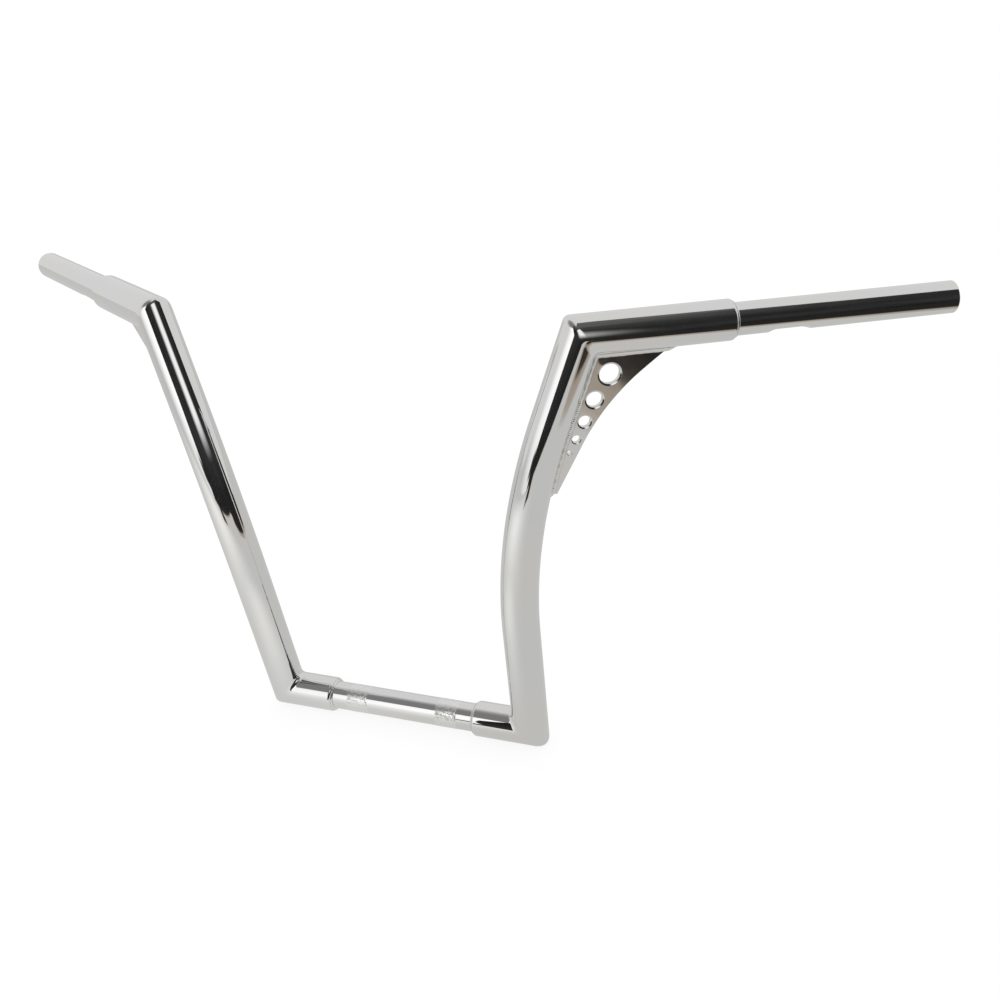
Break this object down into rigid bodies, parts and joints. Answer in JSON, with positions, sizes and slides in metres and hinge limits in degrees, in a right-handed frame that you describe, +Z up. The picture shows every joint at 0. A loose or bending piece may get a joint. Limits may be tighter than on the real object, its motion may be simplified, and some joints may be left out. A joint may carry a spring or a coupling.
{
  "type": "ape hanger handlebar",
  "caption": "Tall swept motorcycle handlebar welded from round tube, with gusseted upper corners, a knurled straight clamp section and slim grips.",
  "frame": {"origin": "middle of the clamp tube, on its axis", "axes": "+X along the clamp tube, +Y back towards the rider, +Z up"},
  "size_m": [0.8928, 0.2402, 0.3986],
  "materials": {
    "chrome_tube": "polished chrome plate",
    "chrome_plate": "polished chrome plate",
    "chrome_weld": "chrome plate over dressed weld"
  },
  "bodies": {
    "root": {"clamp_tube": "chrome_tube", "left_lower_stub": "chrome_tube", "right_lower_stub": "chrome_tube", "left_riser": "chrome_tube", "right_riser": "chrome_tube", "left_arm": "chrome_tube", "right_arm": "chrome_tube", "left_grip_tube": "chrome_tube", "right_grip_tube": "chrome_tube", "left_gusset": "chrome_plate", "right_gusset": "chrome_plate", "left_gusset_weld": "chrome_weld", "right_gusset_weld": "chrome_weld", "left_stub_weld": "chrome_weld", "right_stub_weld": "chrome_weld", "left_grip_weld": "chrome_weld", "right_grip_weld": "chrome_weld"}
  },
  "joints": []
}
